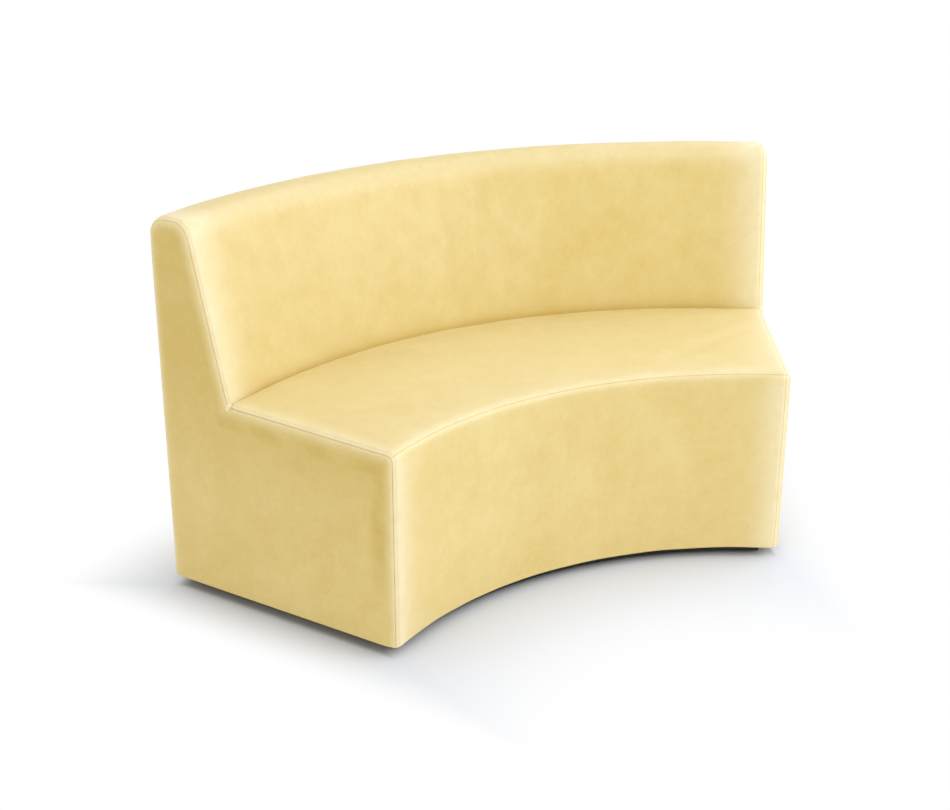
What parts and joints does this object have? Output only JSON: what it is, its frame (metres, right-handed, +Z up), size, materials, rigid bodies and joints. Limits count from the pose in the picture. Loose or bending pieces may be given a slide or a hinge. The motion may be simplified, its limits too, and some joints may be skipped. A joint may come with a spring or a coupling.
{
  "type": "banquette bench",
  "caption": "Free-standing curved banquette bench with a concave seat side, sloped tight back and flat ends, upholstered in pale yellow smooth leather on a low recessed black plinth",
  "frame": {"origin": "on the floor under the middle of the bench, midway between its ends and between the foremost and the rearmost point", "axes": "+X to the right-hand end as one faces the bench, +Y to the outside back, +Z up; sitters face -Y"},
  "size_m": [1.5198, 0.7632, 0.83],
  "materials": {
    "cover_leather": "satin",
    "plinth_black": "satin",
    "glide_plastic": "matte",
    "fixing_steel": "satin",
    "frame_ply": "matte",
    "bent_board": "matte",
    "foam": "matte",
    "wadding": "matte",
    "dust_cloth": "matte"
  },
  "bodies": {
    "root": {"plinth_front_strip": "plinth_black", "plinth_rear_strip": "plinth_black", "plinth_end_left": "plinth_black", "plinth_end_right": "plinth_black", "plinth_cross_members": "plinth_black", "floor_glides": "glide_plastic", "glide_nails": "fixing_steel", "plinth_screws": "fixing_steel", "base_panel": "frame_ply", "dust_cover": "dust_cloth", "end_frame_left": "frame_ply", "end_frame_right": "frame_ply", "rib_left": "frame_ply", "rib_middle": "frame_ply", "rib_right": "frame_ply", "front_lower_rail": "frame_ply", "front_upper_rail": "frame_ply", "seat_rear_rail": "frame_ply", "back_lower_rail": "frame_ply", "back_top_rail": "frame_ply", "corner_blocks": "frame_ply", "front_board": "bent_board", "seat_deck": "frame_ply", "inside_back_board": "bent_board", "outside_back_board": "bent_board", "seat_foam": "foam", "back_foam": "foam", "front_pad": "foam", "end_pad_left": "wadding", "end_pad_right": "wadding", "outside_back_wadding": "wadding", "seat_cover": "cover_leather", "front_cover": "cover_leather", "inside_back_cover": "cover_leather", "outside_back_cover": "cover_leather", "end_cover_left": "cover_leather", "end_cover_right": "cover_leather"}
  },
  "joints": []
}
